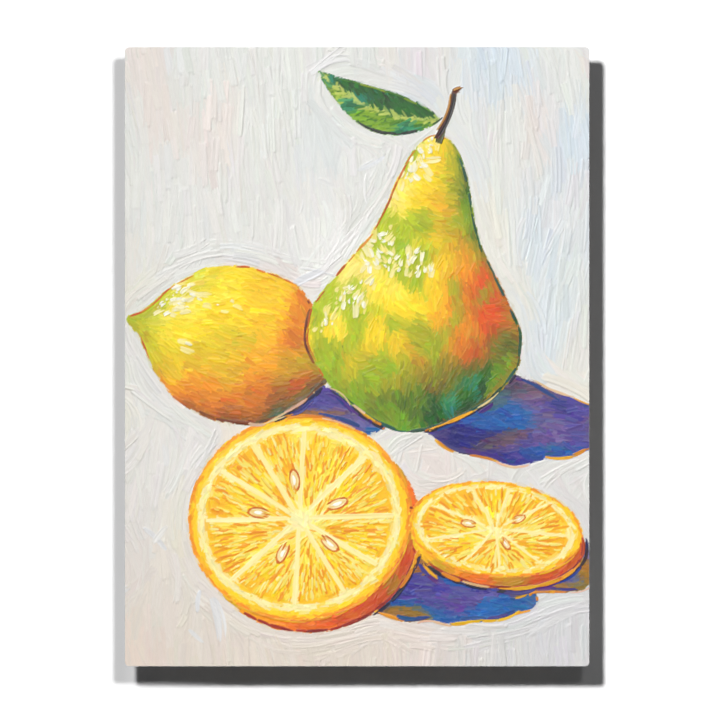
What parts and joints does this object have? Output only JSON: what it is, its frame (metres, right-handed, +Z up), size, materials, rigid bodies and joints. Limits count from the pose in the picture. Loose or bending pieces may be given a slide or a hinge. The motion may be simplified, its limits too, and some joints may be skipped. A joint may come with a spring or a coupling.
{
  "type": "floating wall picture panel",
  "caption": "Thin aluminium sheet with a painted picture on its face, taped to a set-back timber frame and hung off the wall by a wire on a nailed hook.",
  "frame": {"origin": "middle of the wall hook's back face, on the wall plane y = 0; the picture hangs in front of the wall, at negative y", "axes": "+Z up the picture's long side, +Y from the picture back into the wall, +X to the right as the picture is looked at"},
  "size_m": [0.3048, 0.0431, 0.4064],
  "materials": {
    "sheet": "mill-finished sheet with sanded edges",
    "picture": "satin acrylic paint laid on in ridged strokes",
    "frame": "planed pine, unfinished",
    "tape": "matt closed-cell foam tape",
    "steel": "bright zinc plate",
    "ferrule": "crimped soft aluminium",
    "hook": "brass-plated steel strip",
    "bumper": "matt grey rubber"
  },
  "bodies": {
    "root": {"aluminium_sheet": "sheet", "picture_face": "picture", "top_rail": "frame", "bottom_rail": "frame", "left_stile": "frame", "right_stile": "frame", "top_tape": "tape", "bottom_tape": "tape", "left_tape": "tape", "right_tape": "tape", "staple_top_left": "steel", "staple_top_right": "steel", "staple_bottom_left": "steel", "staple_bottom_right": "steel", "bumper_top_left": "bumper", "bumper_top_right": "bumper", "bumper_bottom_left": "bumper", "bumper_bottom_right": "bumper", "screw_eye_left": "steel", "screw_eye_right": "steel", "ferrule_left": "ferrule", "ferrule_right": "ferrule", "hanging_wire": "steel", "wall_hook": "hook", "hook_nail": "steel"}
  },
  "joints": []
}
